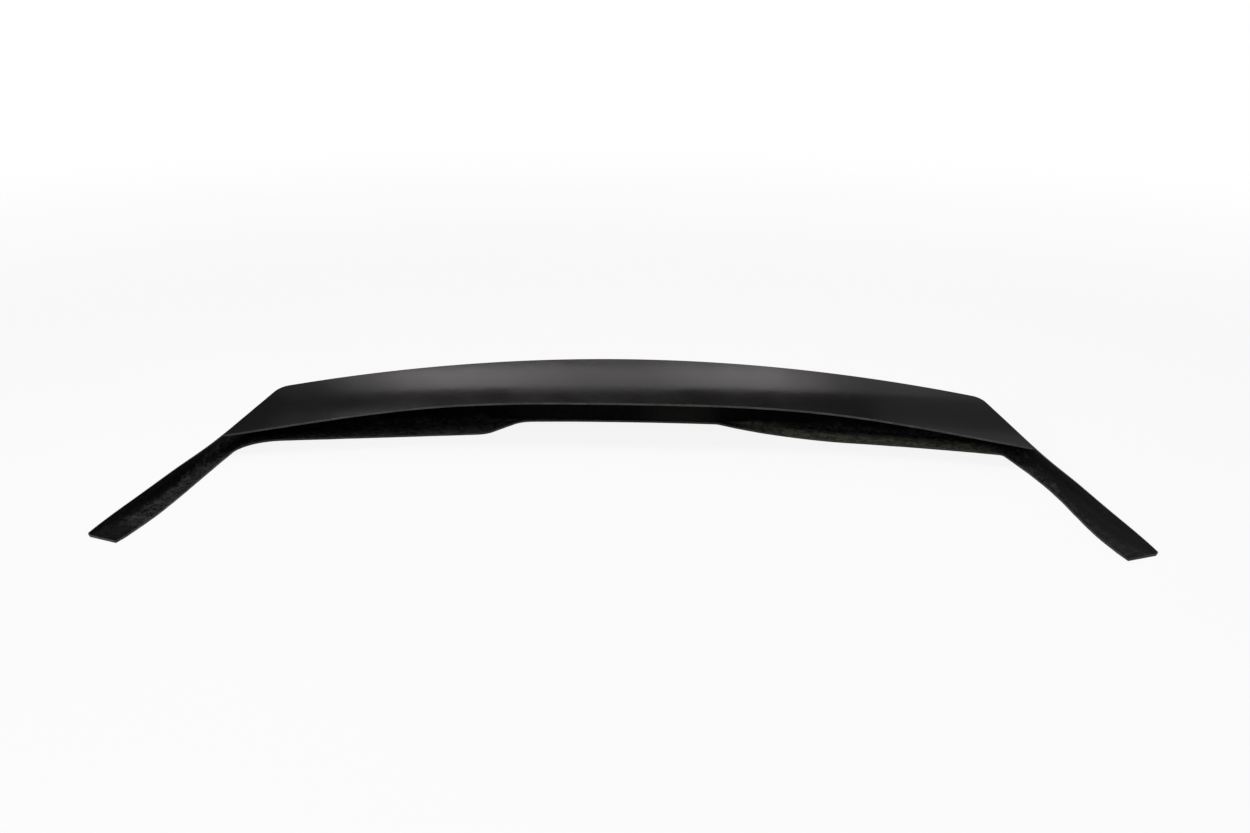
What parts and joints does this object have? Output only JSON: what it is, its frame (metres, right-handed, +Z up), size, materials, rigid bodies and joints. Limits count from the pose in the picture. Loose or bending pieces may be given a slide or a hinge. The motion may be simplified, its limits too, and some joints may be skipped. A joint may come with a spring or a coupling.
{
  "type": "rear spoiler",
  "caption": "One-piece black glass-fibre rear spoiler: a raised, curved shell that wraps round the back of a car's boot lid, with tapering side legs and an inward bonding flange.",
  "frame": {"origin": "middle of the bonding plane: centre of the shell's length and depth, on the underside of the bonding flange", "axes": "+X across the car, +Y towards the car's rear, +Z up"},
  "size_m": [1.3764, 0.5344, 0.1105],
  "materials": {
    "laminate": "satin black gelcoat outside, raw black chopped-strand laminate inside"
  },
  "bodies": {
    "root": {"spoiler_shell": "laminate"}
  },
  "joints": []
}
